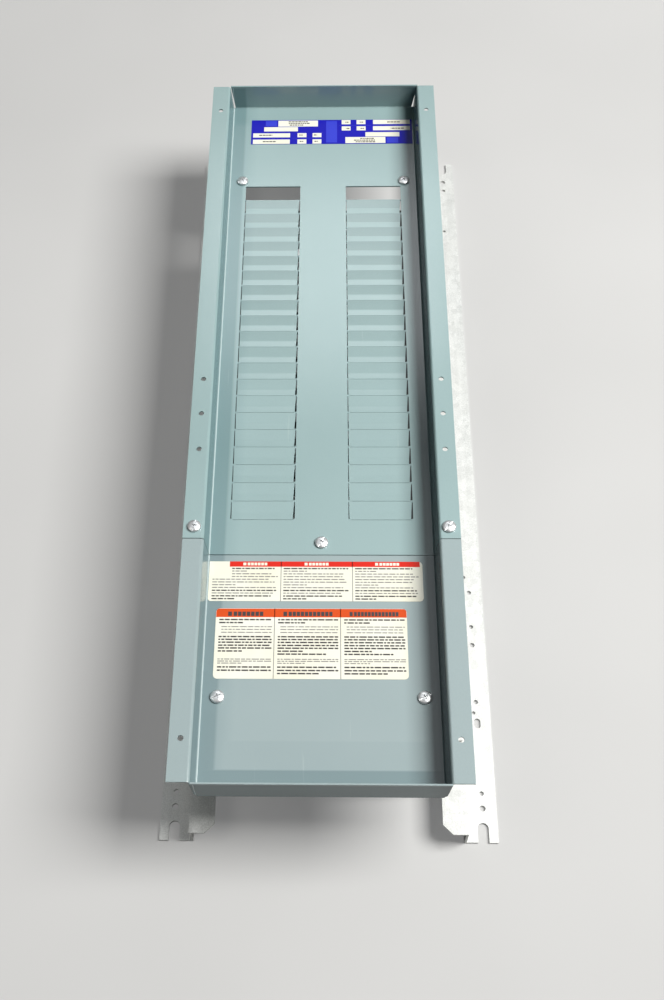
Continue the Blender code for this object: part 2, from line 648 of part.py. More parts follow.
def make_lug_screw(phase, letter):
    """Socket-head binding screw; its origin is on its own axis."""
    name = "lug_screw_" + letter
    low = BAR_TOP + GAP
    top = low + LUG_SIZE[2] + 0.0020
    length = 0.0120
    profile = [(0.0, 0.0), (0.0044, 0.0), (0.0050, -0.0006), (0.0050, -length), (0.0, -length)]
    place = (bar_centre(phase, True), LUG_SCREW_Y, top)
    part = add_part(name, turned(name, profile, 14), ZINC, place, smooth=35)
    socket = drills("cut_socket_" + name, [(0.0, 0.0, 0.0029)], -0.0050, 0.002, 6)
    boolean(part, add_cutter("cut_socket_" + name, socket, part.location))
    return part


def make_neutral_insulator(name, y):
    """Moulded foot that lifts the neutral bar off the base."""
    low = BASE_LOW + BASE_T + GAP
    spans = [((NEUTRAL_X - 0.009, NEUTRAL_X + 0.009), (y - 0.009, y + 0.009), (low, low + 0.0180))]
    part = add_part(name, boxes(name, spans), MOULDING)
    edge = part.modifiers.new("Edges", "BEVEL")
    edge.width = 0.0010
    edge.segments = 1
    return part


def neutral_screw_places():
    return [(NEUTRAL_X, NEUTRAL_Y[0] + 0.0130 + i * 0.0120) for i in range(11)]


def make_neutral_bar():
    low = BASE_LOW + BASE_T + 0.0180 + 2 * GAP
    mesh = boxes("neutral_bar", [((NEUTRAL_X - 0.007, NEUTRAL_X + 0.007), NEUTRAL_Y, (low, low + 0.0120))])
    part = add_part("neutral_bar", mesh, ALUMINIUM)
    holes = [(x, y, 0.0029) for x, y in neutral_screw_places()]
    tool = drills("cut_neutral_bar", holes, low + 0.0040, low + 0.020, 8)
    boolean(part, add_cutter("cut_neutral_bar", tool))
    return part


# ---------------------------------------------------------------- fasteners
def pan_screw_source(name, head_r, head_h, shank_r, length, steps):
    profile = [(0.0, head_h), (head_r * 0.8, head_h), (head_r, 0.0),
               (shank_r, 0.0), (shank_r, -length), (0.0, -length)]
    return turned(name, profile, steps)


def make_fasteners(stem, places, length):
    """Identical screws, each its own object, given by the point under its head."""
    source = pan_screw_source(stem, 0.0042, 0.0026, 0.0020, length, 8)
    for number, place in enumerate(places, start=1):
        add_part(stem + "_" + str(number), source.copy(), ZINC, place, smooth=35)


def make_deadfront_screw(name, x, y, surface):
    """Captive cover screw: low domed head with a cross recess, origin under the head on its axis."""
    r = SCREW_HEAD_R
    rim = 0.0014
    crown = [(r * math.sin(a), rim + 0.0016 * math.cos(a)) for a in (0.0, 0.6, 1.1, math.pi / 2)]
    profile = crown + [(r, 0.0), (SCREW_SHANK_R, 0.0), (SCREW_SHANK_R, -0.0110), (0.0, -0.0110)]
    part = add_part(name, turned(name, profile, 18), ZINC, (x, y, surface + GAP), smooth=35)
    arm = 0.0034
    cross = boxes("cut_a_" + name, [((-arm, arm), (-0.0006, 0.0006), (0.0014, 0.0060))])
    boolean(part, add_cutter("cut_a_" + name, cross, part.location))
    cross = boxes("cut_b_" + name, [((-0.0006, 0.0006), (-arm, arm), (0.0014, 0.0060))])
    boolean(part, add_cutter("cut_b_" + name, cross, part.location))
    return part


def make_label(name, x_span, y_span, look):
    """Thin sheet on the floor of the pan; spans are from the cover's centre line."""
    low = FLOOR_Z + GAP
    spans = [((COVER_X + x_span[0], COVER_X + x_span[1]), y_span, (low, low + LABEL_T))]
    return add_part(name, boxes(name, spans), look)


# ---------------------------------------------------------------- assembly
def build_fasteners():
    cross = [(s * CROSS_BOLT_X, y, CROSS_TOP + GAP) for y in CROSS_Y for s in (-1.0, 1.0)]
    make_fasteners("cross_member_bolt", cross, 0.0090)
    feet = [(x, y, FOOT_TOP + GAP) for s in (-1.0, 1.0) for x, y in foot_screw_places(s)]
    make_fasteners("bracket_screw", feet, 0.0080)


def build_deadfront_screws():
    make_deadfront_screw("deadfront_screw_center", COVER_X, SEAM_SCREW_Y, FLOOR_Z)
    for tag, side in (("left", -1.0), ("right", 1.0)):
        floor_x = COVER_X + side * COVER_SCREW_X
        flange_x = COVER_X + side * FLANGE_SCREW_X
        make_deadfront_screw("deadfront_screw_far_" + tag, floor_x, FAR_SCREW_Y, FLOOR_Z)
        make_deadfront_screw("deadfront_screw_flange_" + tag, flange_x, FLANGE_SCREW_Y, FLANGE_Z)
        make_deadfront_screw("cover_screw_" + tag, floor_x, LOWER_SCREW_Y, FLOOR_Z)


def build_structure():
    make_rail("rail_left", -1.0)
    make_rail("rail_right", 1.0)
    for number, y in enumerate(CROSS_Y, start=1):
        make_cross_member("cross_member_" + str(number), y)
    for tag, side in (("left", -1.0), ("right", 1.0)):
        floor_bracket("far_bracket_" + tag, side, FAR_BRACKET_Y, FAR_SCREW_Y, FAR_SCREW_Y + 0.0035)
        floor_bracket("near_bracket_" + tag, side, NEAR_BRACKET_Y, LOWER_SCREW_Y, LOWER_SCREW_Y)
        make_standoff("flange_standoff_" + tag, side)
    make_seam_bracket()


def build_bus():
    for tag, y0, y1 in BASE_SECTIONS:
        make_base(tag, y0, y1)
    for phase, letter in enumerate("abc"):
        make_bus_bar(phase, letter)
        make_lug(phase, letter)
        make_lug_screw(phase, letter)
    make_breaker_rail("breaker_rail_left", -1.0)
    make_breaker_rail("breaker_rail_right", 1.0)
    make_neutral_insulator("neutral_insulator_far", -0.1800)
    make_neutral_insulator("neutral_insulator_near", -0.2850)
    make_neutral_bar()


def build_front():
    make_upper_deadfront()
    make_lower_cover()
    build_deadfront_screws()
    make_label("nameplate_label", (-0.0766, 0.0942), (0.3257, 0.3620), BLUE_FOIL)
    make_label("circuit_label", (-0.0952, 0.0856), (-0.2156, -0.1778), WHITE_LABEL)
    make_label("rating_label", (-0.0876, 0.0710), (-0.2860, -0.2225), WHITE_LABEL)


clear_scene()
PARTS = new_collection("panelboard_interior")
CUTTERS = new_collection("cutters")
build_structure()
build_bus()
build_fasteners()
build_front()
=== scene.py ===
"""Looks of a panelboard interior: painted dead front, galvanised rails, bus, screws and labels.

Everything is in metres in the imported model's frame: +X right, +Y towards the nameplate end,
+Z out of the front.
"""
import math
import random

import bmesh
import bpy
from mathutils import Matrix, Vector


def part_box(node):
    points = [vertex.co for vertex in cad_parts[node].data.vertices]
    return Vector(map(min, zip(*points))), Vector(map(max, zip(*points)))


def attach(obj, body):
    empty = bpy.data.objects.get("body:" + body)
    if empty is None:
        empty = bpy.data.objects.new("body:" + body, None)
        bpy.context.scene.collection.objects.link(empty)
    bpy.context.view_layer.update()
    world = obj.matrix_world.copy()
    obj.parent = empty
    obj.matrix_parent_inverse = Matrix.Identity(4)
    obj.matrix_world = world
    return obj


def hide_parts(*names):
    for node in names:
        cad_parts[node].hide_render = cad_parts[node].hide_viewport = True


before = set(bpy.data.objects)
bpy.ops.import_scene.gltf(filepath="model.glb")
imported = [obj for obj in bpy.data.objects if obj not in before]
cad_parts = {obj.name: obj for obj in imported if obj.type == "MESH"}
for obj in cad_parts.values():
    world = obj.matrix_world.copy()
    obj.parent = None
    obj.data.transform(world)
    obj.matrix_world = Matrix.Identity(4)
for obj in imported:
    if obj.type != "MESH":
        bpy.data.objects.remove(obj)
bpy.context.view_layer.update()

# ---------------------------------------------------------------- sizes from the frame
UPPER_LO, UPPER_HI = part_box("upper_deadfront")
LOWER_LO, LOWER_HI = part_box("lower_cover")
SHEET = 0.0015
COVER_X = (UPPER_LO.x + UPPER_HI.x) / 2
FLANGE_HALF = (UPPER_HI.x - UPPER_LO.x) / 2
FLANGE_Z = UPPER_HI.z
FLOOR_Z = UPPER_LO.z + SHEET
UPPER_SEAM = UPPER_LO.y
LOWER_SEAM = LOWER_HI.y
FAR_WALL = UPPER_HI.y - SHEET
NEAR_WALL = LOWER_LO.y + SHEET

# ---------------------------------------------------------------- sizes of the sheet metal
# half widths of the floor and of the walls' tops, and the bends between them
FLOOR_HALF = 0.0962
WALL_HALF = 0.0986
BEND_IN = 0.0010
BEND_OUT = BEND_IN + SHEET
CORNER_GAP = 0.0012
# at its flange the end wall stops short of the left wall and runs into the right one
LEFT_END_GAP = 0.0003
RIGHT_END_OVERLAP = 0.0010
RIGHT_END_SPREAD = 9.0
# two columns of twist-outs: breaker pitch, first row, column edges from the centre line
PITCH = 0.01905
SPACES = 21
ROW_BASE = -0.1360
COLUMN_IN = 0.0234
COLUMN_OUT = 0.0795
# slits round a twist-out and the metal left between them
SLIT_END = 0.0010
CROSS_SLIT = 0.0008
BRIDGE = 0.0020
SIDE_SLITS = {"left": (0.0008, 0.0005), "right": (0.0019, 0.0007)}
# depths below the floor along a twist-out; RISE and CREASE are shares of the pitch
NEAR_DROP = 0.00072
RISE = 0.34
CREASE = 0.40
CREASE_DROP = 0.00080
FAR_DROP = -0.02 * CREASE_DROP
# holes for trim screws in the flanges, and clearance holes under the fasteners
HOLE_R = 0.0023
HOLE_X = 0.1073
UPPER_HOLES_Y = (0.3456, -0.0050, -0.0431, -0.0812)
LOWER_HOLES_Y = (-0.3476,)
CLEARANCE_R = 0.0026
SAME_POINT = 1e-6

# ---------------------------------------------------------------- places of the small screws
SCREW_HEAD_H = 0.0030
BASE_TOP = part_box("breaker_rail_left")[0].z - 0.0003
BAR_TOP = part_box("bus_bar_b")[0].z + 0.0032
BASE_SCREW_X = 0.074
BASE_SCREW_ROWS = (0.2500, 0.0795, 0.0635, -0.1220, -0.1380, -0.3300)
BUS_SCREW_STEP = 0.018
BUS_SCREW_ROWS = (0.2450, 0.0926, 0.0545, -0.0979)
LUG_SCREW_STEP = 0.042
LUG_SCREW_ROW = -0.2050
BINDING_SCREWS = 11
BINDING_STEP = 0.012
BINDING_START = (-0.0760, -0.293)


# ---------------------------------------------------------------- small helpers
def link(name, mesh):
    made = bpy.data.objects.new(name, mesh)
    bpy.context.scene.collection.objects.link(made)
    return made


def to_mesh(bm, name):
    made = bpy.data.meshes.new(name)
    bm.to_mesh(made)
    bm.free()
    return made


def arc(centre, radius, start, end, steps):
    """Points on an arc, angles in degrees, both ends included."""
    points = []
    for i in range(steps + 1):
        a = math.radians(start + (end - start) * i / steps)
        points.append((centre[0] + radius * math.cos(a), centre[1] + radius * math.sin(a)))
    return points


def settle(piece):
    """Turns the piece's modifiers into plain mesh."""
    bpy.context.view_layer.update()
    graph = bpy.context.evaluated_depsgraph_get()
    done = bpy.data.meshes.new_from_object(piece.evaluated_get(graph))
    piece.modifiers.clear()
    piece.data = done
    return piece


def cylinders(name, places, z0, z1):
    """Cutting tool for round holes, given as (x, y, radius)."""
    bm = bmesh.new()
    for x, y, radius in places:
        place = Matrix.Translation((x, y, (z0 + z1) / 2))
        bmesh.ops.create_cone(bm, cap_ends=True, segments=32, radius1=radius, radius2=radius,
                              depth=z1 - z0, matrix=place)
    return link(name, to_mesh(bm, name))


def cut(piece, tool, operation="DIFFERENCE"):
    step = piece.modifiers.new("Cut", "BOOLEAN")
    step.operation = operation
    step.solver = "EXACT"
    step.object = tool
    settle(piece)
    bpy.data.objects.remove(tool, do_unlink=True)


def soften(piece, width, angle=50, segments=2):
    """Rounds the piece's sharp edges with a bevel modifier."""
    edge = piece.modifiers.new("Edges", "BEVEL")
    edge.width = width
    edge.segments = segments
    edge.limit_method = "ANGLE"
    edge.angle_limit = math.radians(angle)
    edge.harden_normals = False


def shade(piece, angle):
    """Smooth shading with face-weighted normals, which keeps large flat faces flat."""
    piece.data.shade_smooth()
    piece.data.set_sharp_from_angle(angle=math.radians(angle))
    even = piece.modifiers.new("Normals", "WEIGHTED_NORMAL")
    even.keep_sharp = True
    even.weight = 100
    even.mode = "FACE_AREA"
    settle(piece)


def dress(piece, body, slot, *materials):
    """Puts a piece on its body and gives it its materials. Its slot is not used."""
    for material in materials:
        piece.data.materials.append(material)
    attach(piece, body)
    return piece


# ---------------------------------------------------------------- node helpers
class Nodes:
    """Adds nodes to a material and links them by short names."""

    def __init__(self, name):
        self.material = bpy.data.materials.new(name)
        self.material.use_nodes = True
        self.tree = self.material.node_tree
        self.shader = self.tree.nodes["Principled BSDF"]
        self.where = self.add("ShaderNodeTexCoord")

    def add(self, kind, **settings):
        made = self.tree.nodes.new(kind)
        for key, value in settings.items():
            setattr(made, key, value)
        return made

    def join(self, source, target):
        self.tree.links.new(source, target)

    def noise(self, scale, detail=4.0, rough=0.5, stretch=None):
        made = self.add("ShaderNodeTexNoise")
        made.inputs["Scale"].default_value = scale
        made.inputs["Detail"].default_value = detail
        made.inputs["Roughness"].default_value = rough
        self.place(made, stretch)
        return made.outputs["Fac"]

    def cells(self, scale, feature="F1", output="Color"):
        made = self.add("ShaderNodeTexVoronoi", feature=feature)
        made.inputs["Scale"].default_value = scale
        self.place(made, None)
        return made.outputs[output]

    def place(self, texture, stretch):
        if stretch is None:
            self.join(self.where.outputs["Object"], texture.inputs["Vector"])
            return
        mapping = self.add("ShaderNodeMapping")
        mapping.inputs["Scale"].default_value = stretch
        self.join(self.where.outputs["Object"], mapping.inputs["Vector"])
        self.join(mapping.outputs["Vector"], texture.inputs["Vector"])

    def ramp(self, value, *stops):
        made = self.add("ShaderNodeValToRGB")
        band = made.color_ramp
        while len(band.elements) < len(stops):
            band.elements.new(0.5)
        for element, (position, colour) in zip(band.elements, stops):
            element.position = position
            element.color = tuple(colour) + (1.0,)
        self.join(value, made.inputs["Fac"])
        return made.outputs["Color"]

    def greys(self, value, *stops):
        """A ramp of neutral tones, each stop a (position, level) pair."""
        return self.ramp(value, *((position, (level,) * 3) for position, level in stops))

    def span(self, value, low, high, start=0.0, end=1.0):
        """Maps the range start-end of a value to low-high."""
        made = self.add("ShaderNodeMapRange")
        made.inputs["From Min"].default_value = start
        made.inputs["From Max"].default_value = end
        made.inputs["To Min"].default_value = low
        made.inputs["To Max"].default_value = high
        self.join(value, made.inputs["Value"])
        return made.outputs["Result"]

    def feed(self, socket, value):
        """Gives a socket a number, a colour or another node's output."""
        if isinstance(value, (int, float)):
            socket.default_value = value
        elif isinstance(value, tuple):
            socket.default_value = value + (1.0,)
        else:
            self.join(value, socket)

    def mix(self, factor, first, second, blend="MIX"):
        made = self.add("ShaderNodeMix", data_type="RGBA", blend_type=blend)
        self.feed(made.inputs["Factor"], factor)
        self.feed(made.inputs["A"], first)
        self.feed(made.inputs["B"], second)
        return made.outputs["Result"]

    def times(self, first, second):
        """The product of two colours."""
        return self.mix(1.0, first, second, "MULTIPLY")

    def combine(self, first, second, how="ADD"):
        """One value from two by a sum, product, minimum or maximum."""
        made = self.add("ShaderNodeMath", operation=how)
        self.feed(made.inputs[0], first)
        self.feed(made.inputs[1], second)
        return made.outputs["Value"]

    def axis(self, name):
        """One object coordinate, in metres."""
        made = self.add("ShaderNodeSeparateXYZ")
        self.join(self.where.outputs["Object"], made.inputs["Vector"])
        return made.outputs[name]

    def bump(self, height, strength, distance):
        made = self.add("ShaderNodeBump")
        made.inputs["Strength"].default_value = strength
        made.inputs["Distance"].default_value = distance
        self.join(height, made.inputs["Height"])
        self.join(made.outputs["Normal"], self.shader.inputs["Normal"])

    def set(self, **values):
        """Feeds the shader's named sockets and hands back the finished material."""
        for key, value in values.items():
            self.feed(self.shader.inputs[key.replace("_", " ")], value)
        return self.material


# ---------------------------------------------------------------- materials
# bands of painted shade and painted highlight on the pans, as (start, end) from the centre line,
# the near wall or the flange
LEFT_SHADE_BAND = (-0.0985, -0.0685)
BEND_HIGHLIGHT_BAND = (-0.0972, -0.0948)
RIGHT_SHADOW_BAND = (0.0800, 0.0955)
NEAR_SHADE_BAND = (0.0165, 0.0505)
FLANGE_BAND = (-0.003, -0.001)
# y at which the painted shade on the twist-outs' tilted parts reaches its full depth
STEP_SHADE_END = 0.22


def paint_material(name, thin, full, step_shade=1.0):
    """Blue-grey baked enamel: orange peel, cloudy tint, rubs and fine scratches.

    Below the flanges painted shade darkens it beside the left wall and the near wall, a painted
    shadow darkens it beside and on the right wall, and a painted highlight lightens the left wall's
    bend. The last argument sets a painted shade that deepens towards the far end.
    """
    n = Nodes(name)
    x, y, z = n.axis("X"), n.axis("Y"), n.axis("Z")
    cloud = n.ramp(n.noise(7.0, 5.0), (0.25, thin), (0.75, full))
    speck = n.greys(n.noise(1500.0, 2.0, 0.6), (0.30, 0.93), (0.70, 1.0))
    enamel = n.times(cloud, speck)
    rub = n.greys(n.noise(60.0, 6.0, 0.7), (0.70, 0.0), (0.78, 1.0))
    rubbed = n.mix(n.span(rub, 0.0, 0.10), enamel, (0.45, 0.52, 0.52))
    scratch = n.greys(n.noise(220.0, 2.0, 0.5, (1.0, 0.05, 1.0)), (0.73, 0.0), (0.77, 1.0))
    scored = n.mix(n.span(scratch, 0.0, 0.12), rubbed, (0.50, 0.57, 0.57))

    def band(axis, origin, limits):
        return n.span(axis, 0.0, 1.0, origin + limits[0], origin + limits[1])

    front = band(z, FLANGE_Z, FLANGE_BAND)
    below = n.combine(1.0, front, "SUBTRACT")
    # painted shade beside the left wall and beside the near wall, below the flanges
    left_shade_fade = n.greys(band(x, COVER_X, LEFT_SHADE_BAND), (0.0, 0.05), (0.06, 0.0), (0.48, 0.08),
                       (0.56, 0.72), (1.0, 1.0))
    near_shade_fade = n.greys(band(y, NEAR_WALL, NEAR_SHADE_BAND), (0.08, 0.0), (0.12, 0.84), (0.78, 0.88),
                       (0.82, 1.0))
    unshaded = n.combine(n.combine(left_shade_fade, near_shade_fade, "MINIMUM"), front, "MAXIMUM")
    painted_wall_shade = n.mix(unshaded, n.times(scored, (0.58, 0.66, 0.68)), scored)
    # painted shadow: dark on the floor beside the right wall and on that wall, below the flanges
    right_shadow_mask = n.combine(band(x, COVER_X, RIGHT_SHADOW_BAND), below, "MULTIPLY")
    shaded = n.mix(right_shadow_mask, painted_wall_shade, n.times(scored, (0.36, 0.41, 0.43)))
    # painted highlight: a pale line along the left wall's bend
    bend_highlight = n.greys(band(x, COVER_X, BEND_HIGHLIGHT_BAND), (0.22, 0.0), (0.40, 0.42), (0.56, 0.42),
                    (0.74, 0.0))
    bright = n.mix(n.combine(bend_highlight, below, "MULTIPLY"), shaded, (0.80, 0.90, 0.90))
    # painted shade, deepening towards the far end by the last argument; it darkens the twist-outs'
    # tilted parts
    colour = n.times(bright, n.span(y, 1.0, step_shade, 0.0, STEP_SHADE_END))
    rough = n.combine(n.span(n.noise(40.0, 5.0, 0.6), 0.16, 0.22), n.span(rub, 0.0, 0.10))
    peel = n.combine(n.noise(900.0, 3.0, 0.6), n.combine(n.noise(120.0, 2.0), 0.6, "MULTIPLY"))
    n.bump(peel, 0.08, 0.0003)
    return n.set(Base_Color=colour, Roughness=rough, Specular_IOR_Level=0.5)


def galvanised_material():
    """Hot-dip zinc: crystal spangle, fine grain, dull mottling and rolling marks."""
    n = Nodes("galvanised_steel")
    spangle = n.span(n.cells(190.0), 0.0, 1.0)
    grey = n.ramp(spangle, (0.0, (0.55, 0.56, 0.55)), (0.5, (0.62, 0.63, 0.62)),
                  (1.0, (0.69, 0.70, 0.69)))
    grain = n.ramp(n.noise(1100.0, 3.0, 0.6), (0.35, (0.80, 0.80, 0.79)),
                   (0.65, (1.08, 1.08, 1.07)))
    grained = n.times(grey, grain)
    cloud = n.noise(18.0, 6.0, 0.62)
    dull = n.mix(n.span(cloud, 0.0, 0.35, 0.35, 0.75), grained, (0.54, 0.54, 0.51))
    lines = n.noise(300.0, 2.0, 0.5, (1.0, 0.02, 1.0))
    colour = n.mix(n.span(lines, 0.0, 0.15, 0.45, 0.7), dull, (0.80, 0.80, 0.78))
    rough = n.combine(n.span(spangle, 0.38, 0.50), n.span(cloud, -0.04, 0.12))
    n.bump(n.combine(spangle, n.noise(900.0, 3.0)), 0.12, 0.0002)
    return n.set(Base_Color=colour, Roughness=rough, Metallic=0.40)


def zinc_material():
    """Bright zinc plate on screws, slightly worn."""
    n = Nodes("zinc_screw")
    cloud = n.noise(420.0, 4.0, 0.6)
    colour = n.ramp(cloud, (0.3, (0.58, 0.59, 0.60)), (0.7, (0.74, 0.75, 0.75)))
    n.bump(n.noise(1600.0, 3.0), 0.10, 0.0002)
    return n.set(Base_Color=colour, Roughness=n.span(cloud, 0.28, 0.40), Metallic=0.80)


def tin_material():
    """Tin plated bar with rolling lines along its length."""
    n = Nodes("tinned_bus")
    lines = n.noise(500.0, 3.0, 0.5, (1.0, 0.03, 1.0))
    cloud = n.noise(30.0, 5.0)
    colour = n.mix(n.span(cloud, 0.0, 0.5), (0.80, 0.80, 0.78), (0.62, 0.63, 0.62))
    n.bump(lines, 0.15, 0.0002)
    return n.set(Base_Color=colour, Roughness=n.span(lines, 0.28, 0.44), Metallic=0.70)


def aluminium_material():
    """Extruded and machined aluminium with die lines."""
    n = Nodes("lug_aluminium")
    lines = n.noise(700.0, 2.0, 0.5, (1.0, 0.04, 0.3))
    colour = n.ramp(n.noise(80.0, 4.0), (0.3, (0.66, 0.67, 0.68)), (0.7, (0.78, 0.79, 0.80)))
    n.bump(lines, 0.2, 0.0002)
    return n.set(Base_Color=colour, Roughness=n.span(lines, 0.30, 0.46), Metallic=0.65)


def moulding_material():
    """Black thermoset moulding with a fine texture and a dusty bloom."""
    n = Nodes("black_moulding")
    dust = n.span(n.noise(35.0, 6.0, 0.65), 0.0, 0.30, 0.45, 0.8)
    colour = n.mix(dust, (0.012, 0.013, 0.014), (0.07, 0.07, 0.07))
    n.bump(n.noise(1400.0, 3.0), 0.25, 0.0002)
    return n.set(Base_Color=colour, Roughness=n.span(n.noise(60.0), 0.42, 0.60))


def film_material(name, colour, shade_by, rough):
    """Printed label film: colour with faint ageing and a soft wrinkle."""
    n = Nodes(name)
    aged = tuple(c * k for c, k in zip(colour, shade_by))
    tint = n.mix(n.span(n.noise(25.0, 5.0), 0.0, 1.0, 0.3, 0.7), colour, aged)
    n.bump(n.noise(45.0, 2.0), 0.08, 0.0006)
    return n.set(Base_Color=tint, Roughness=n.span(n.noise(150.0, 3.0), rough, rough + 0.10),
                 Specular_IOR_Level=0.22)


THIN_COAT = (0.248, 0.350, 0.354)
FULL_COAT = (0.272, 0.378, 0.381)
PAINT = paint_material("deadfront_paint", THIN_COAT, FULL_COAT)
# the pan paint with extra painted shade, for the tilted far parts of the twist-outs
STEP_SHADE_PAINT = paint_material("step_shade_paint", THIN_COAT, FULL_COAT, 0.80)
COVER_PAINT = paint_material("cover_paint", (0.260, 0.330, 0.338), (0.285, 0.353, 0.361))
GALVANISED = galvanised_material()
ZINC = zinc_material()
TIN = tin_material()
ALUMINIUM = aluminium_material()
MOULDING = moulding_material()
BLUE_AGED = (0.90, 0.90, 0.92)
WHITE_FILM = film_material("white_film", (0.73, 0.735, 0.66), (0.97, 0.95, 0.86), 0.34)
ORANGE_FILM = film_material("orange_film", (0.58, 0.065, 0.004), (0.95, 0.90, 0.90), 0.34)
RED_FILM = film_material("red_film", (0.60, 0.016, 0.006), (0.94, 0.90, 0.90), 0.34)
BLUE_FILM = film_material("blue_film", (0.004, 0.003, 0.36), BLUE_AGED, 0.42)
LIGHT_BLUE_FILM = film_material("light_blue_film", (0.030, 0.042, 0.52), BLUE_AGED, 0.42)
INK = film_material("label_ink", (0.045, 0.038, 0.040), (1.2, 1.2, 1.2), 0.40)
GREY_INK = film_material("grey_ink", (0.24, 0.23, 0.22), (0.9, 0.9, 0.9), 0.40)


# ---------------------------------------------------------------- dead front and lower cover
def row_y(row):
    return ROW_BASE + row * PITCH


def wall_profile():
    """Right wall and flange of the pan as (x, z) from the floor's bend outwards."""
    lean = math.degrees(math.atan2(FLANGE_Z - FLOOR_Z, WALL_HALF - FLOOR_HALF))
    low_back = BEND_IN * math.tan(math.radians(lean / 2))
    top_back = BEND_OUT * math.tan(math.radians(lean / 2))
    low = arc((FLOOR_HALF - low_back, FLOOR_Z + BEND_IN), BEND_IN, -90, lean - 90, 5)
    top = arc((WALL_HALF + top_back, FLANGE_Z - BEND_OUT), BEND_OUT, 90 + lean, 90, 6)
    return low + top + [(FLANGE_HALF, FLANGE_Z)]


def floor_lines():
    """Lines across the floor that the twist-out columns need, as distances from the centre line."""
    lines = [CORNER_GAP - FLOOR_HALF]
    for side in (-1.0, 1.0):
        low = min(side * COLUMN_IN, side * COLUMN_OUT)
        high = max(side * COLUMN_IN, side * COLUMN_OUT)
        lines += [low, ("left", low), low + BRIDGE, high - BRIDGE, ("right", high), high]
    return lines + [FLOOR_HALF - CORNER_GAP]


def slit_width(side, t):
    """Width of a side slit, t running from 0 at a row's near end to 1 at its far end."""
    near, far = SIDE_SLITS[side]
    return near + (far - near) * t


def line_x(line, t):
    """Distance of a floor line from the centre line; a slit's inner edge follows its taper."""
    if isinstance(line, tuple):
        side, x = line
        return x + (slit_width(side, t) if side == "left" else -slit_width(side, t))
    return line


def length_lines(y_open, y_bend):
    """Lines along the floor as (y, row, t, drop): row boundaries, slit ends and creases."""
    lines = [(y_open, None, 0.0, 0.0)]
    half = CROSS_SLIT / 2
    for row in range(SPACES - 1):
        base = row_y(row)
        near_t = half / PITCH
        lines.append((base - half, row - 1, 1.0, 0.0))
        lines.append((base + half, row, 0.0, -NEAR_DROP))
        lines.append((base + SLIT_END, row, near_t, -NEAR_DROP))
        lines.append((base + RISE * PITCH, row, RISE, -NEAR_DROP))
        lines.append((base + CREASE * PITCH, row, CREASE, -CREASE_DROP))
        lines.append((base + PITCH - SLIT_END, row, 1.0, FAR_DROP))
    lines.append((row_y(SPACES - 1), SPACES - 2, 1.0, 0.0))
    lines.append((row_y(SPACES), None, 0.0, 0.0))
    lines.append((y_bend, None, 0.0, 0.0))
    return lines


def cell_is_open(across, along):
    """True where the sheet is cut away: side slits, cross slits and the far open space."""
    column = (across - 1) // 6
    within = (across - 1) % 6
    if across < 1 or column > 1 or within == 5:
        return False
    last = 6 * (SPACES - 1)
    if along == last + 1:
        return True
    if along < 1 or along > last:
        return False
    step = (along - 1) % 6
    if step == 0:
        return within == 2
    return step in (2, 3, 4) and within in (0, 4)


def on_step(across, along):
    """True on the far, tilted part of a twist-out."""
    in_column = 1 <= across <= 11 and (across - 1) % 6 < 5
    return in_column and 1 <= along < 6 * SPACES and (along - 1) % 6 in (4, 5)


def add_strip(bm, first, second):
    """Faces between two rows of vertices of the same length."""
    for a, b, c, d in zip(first, first[1:], second[1:], second):
        bm.faces.new((a, b, c, d))


def pan_surface(y_open, y_wall, with_columns):
    """Front surface of a pan: floor, two walls with flanges and an end wall with reliefs."""
    outwards = 1.0 if y_wall > y_open else -1.0
    y_bend = y_wall - outwards * BEND_IN
    low_half = FLOOR_HALF - CORNER_GAP
    bm = bmesh.new()
    across = [-low_half, low_half]
    along = [(y_open, None, 0, 0), (y_bend, None, 0, 0)]
    if with_columns:
        across = floor_lines()
        along = length_lines(y_open, y_bend)
    grid = []
    for y, row, t, drop in along:
        line = []
        for place, entry in enumerate(across):
            inside = with_columns and (2 <= place <= 5 or 8 <= place <= 11)
            z = FLOOR_Z + (drop if inside and row is not None else 0.0)
            line.append(bm.verts.new((COVER_X + line_x(entry, t), y, z)))
        grid.append(line)
    for j in range(len(grid) - 1):
        for i in range(len(across) - 1):
            if with_columns and cell_is_open(i, j):
                continue
            face = bm.faces.new((grid[j][i], grid[j][i + 1], grid[j + 1][i + 1], grid[j + 1][i]))
            # the tilted far part of each twist-out takes the second paint, which carries painted
            # shade
            face.material_index = int(with_columns and on_step(i, j))
    for sign, place in ((-1.0, 0), (1.0, -1)):
        previous = [line[place] for line in grid]
        for x, z in wall_profile():
            current = [bm.verts.new((COVER_X + sign * x, v.co.y, z)) for v in previous]
            add_strip(bm, previous, current)
            previous = current
    previous = grid[-1]
    turn = arc((y_bend, FLOOR_Z + BEND_IN), BEND_IN, -90, -90 + outwards * 90, 5)[1:]
    for y, z in turn + [(y_wall, FLANGE_Z)]:
        rise = max(0.0, (z - FLOOR_Z - BEND_IN) / (FLANGE_Z - FLOOR_Z - BEND_IN))
        current = []
        for v in grid[-1]:
            from_middle = v.co.x - COVER_X
            top_half, spread = WALL_HALF + RIGHT_END_OVERLAP, RIGHT_END_SPREAD
            if from_middle < 0:
                top_half, spread = WALL_HALF - LEFT_END_GAP, 1.0
            scale = 1.0 + min(1.0, rise * spread) * (top_half / low_half - 1.0)
            current.append(bm.verts.new((COVER_X + from_middle * scale, y, z)))
        add_strip(bm, previous, current)
        previous = current
    return bm


def extend_sides(bm, y_bend, y_wall):
    """Carries the side walls on from the end wall's bend to its outer face."""
    low_half = FLOOR_HALF - CORNER_GAP
    edges = [e for e in bm.edges
             if e.is_boundary and all(abs(v.co.y - y_bend) < 1e-7 for v in e.verts)
             and max(abs(v.co.x - COVER_X) for v in e.verts) > low_half + SAME_POINT]
    grown = bmesh.ops.extrude_edge_only(bm, edges=edges)["geom"]
    bmesh.ops.translate(bm, verts=[g for g in grown if isinstance(g, bmesh.types.BMVert)],
                        vec=(0.0, y_wall - y_bend, 0.0))


